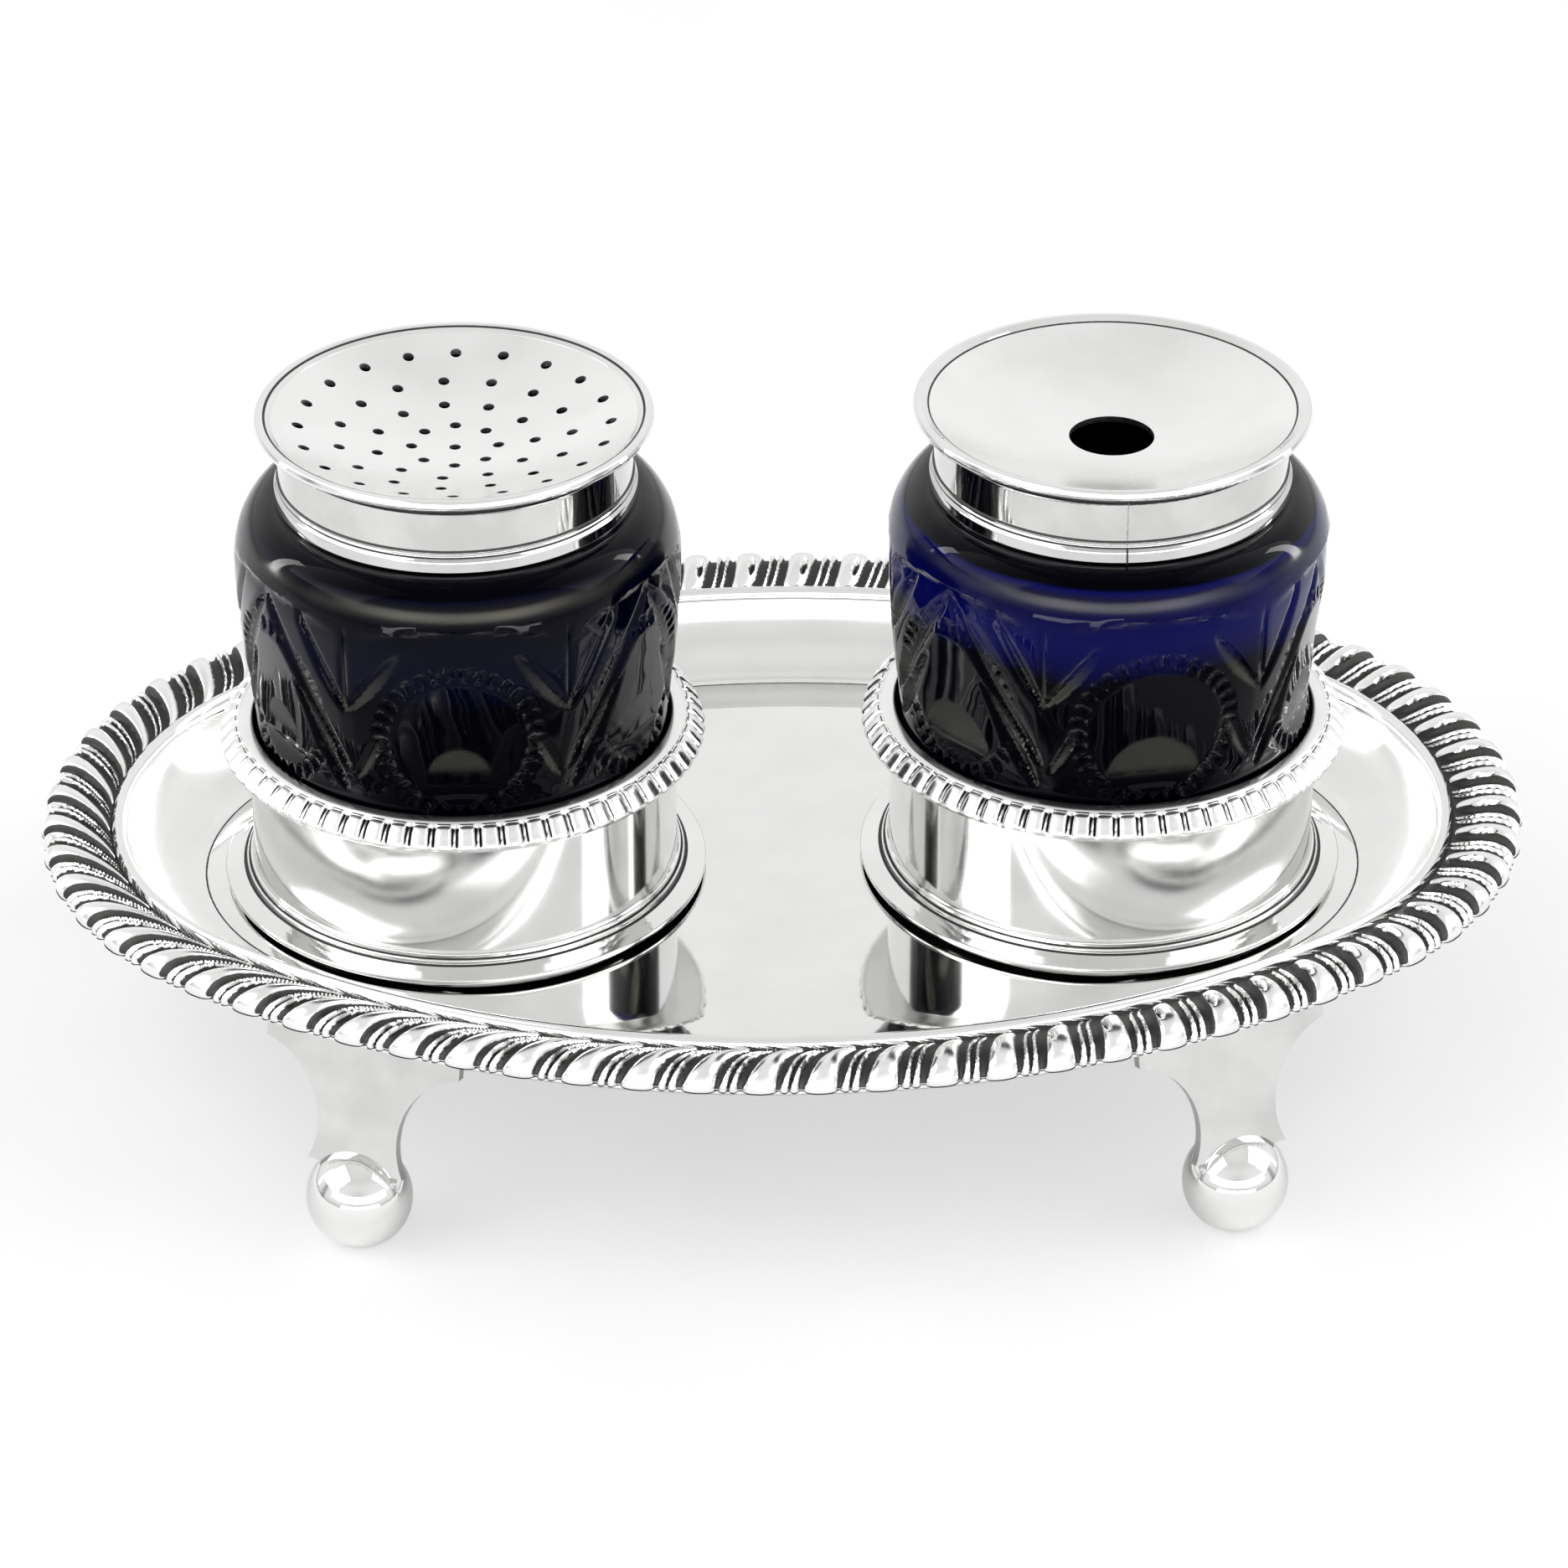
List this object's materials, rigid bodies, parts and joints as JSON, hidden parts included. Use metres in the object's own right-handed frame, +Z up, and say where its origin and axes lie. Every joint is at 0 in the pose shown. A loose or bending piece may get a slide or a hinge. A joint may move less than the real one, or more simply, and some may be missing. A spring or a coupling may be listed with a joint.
{
  "type": "desk inkstand",
  "caption": "Oval footed silver inkstand: two round frames on a gadrooned tray hold a cut cobalt glass pounce pot and ink bottle, each with a push-on dished cap.",
  "frame": {"origin": "on the table, under the middle of the tray", "axes": "+Z up, +X along the tray towards the ink bottle, front towards -Y"},
  "size_m": [0.2, 0.14, 0.091],
  "materials": {
    "polished_silver": "polished, a little worn",
    "oxidised_silver": "polished on the lobes, dark in the grooves",
    "satin_silver": "satin from use",
    "dark_cobalt_glass": "cut and polished",
    "cobalt_glass": "cut and polished"
  },
  "bodies": {
    "stand": {"tray": "polished_silver", "rim_bead": "polished_silver", "gadroon_front_left": "oxidised_silver", "gadroon_front_right": "oxidised_silver", "gadroon_rear_left": "oxidised_silver", "gadroon_rear_right": "oxidised_silver", "leg_front_left": "polished_silver", "leg_front_right": "polished_silver", "leg_rear_left": "polished_silver", "leg_rear_right": "polished_silver", "ball_front_left": "polished_silver", "ball_front_right": "polished_silver", "ball_rear_left": "polished_silver", "ball_rear_right": "polished_silver", "pounce_frame_wall": "polished_silver", "pounce_frame_foot": "polished_silver", "pounce_frame_border": "oxidised_silver", "ink_frame_wall": "polished_silver", "ink_frame_foot": "polished_silver", "ink_frame_border": "oxidised_silver"},
    "pounce_pot": {"pounce_bottle": "dark_cobalt_glass"},
    "pounce_cap": {"pounce_cap_band": "polished_silver", "pounce_cap_rim": "polished_silver", "pounce_cap_dish": "satin_silver"},
    "ink_pot": {"ink_bottle": "cobalt_glass"},
    "ink_cap": {"ink_cap_band": "polished_silver", "ink_cap_rim": "polished_silver", "ink_cap_dish": "satin_silver"}
  },
  "joints": [
    {"name": "pounce_pot_lift", "type": "slide", "parent": "stand", "child": "pounce_pot", "axis": [0, 0, 1], "range_m": [0, 0.03]},
    {"name": "pounce_cap_lift", "type": "slide", "parent": "pounce_pot", "child": "pounce_cap", "axis": [0, 0, 1], "range_m": [0, 0.012]},
    {"name": "ink_pot_lift", "type": "slide", "parent": "stand", "child": "ink_pot", "axis": [0, 0, 1], "range_m": [0, 0.03]},
    {"name": "ink_cap_lift", "type": "slide", "parent": "ink_pot", "child": "ink_cap", "axis": [0, 0, 1], "range_m": [0, 0.012]}
  ]
}
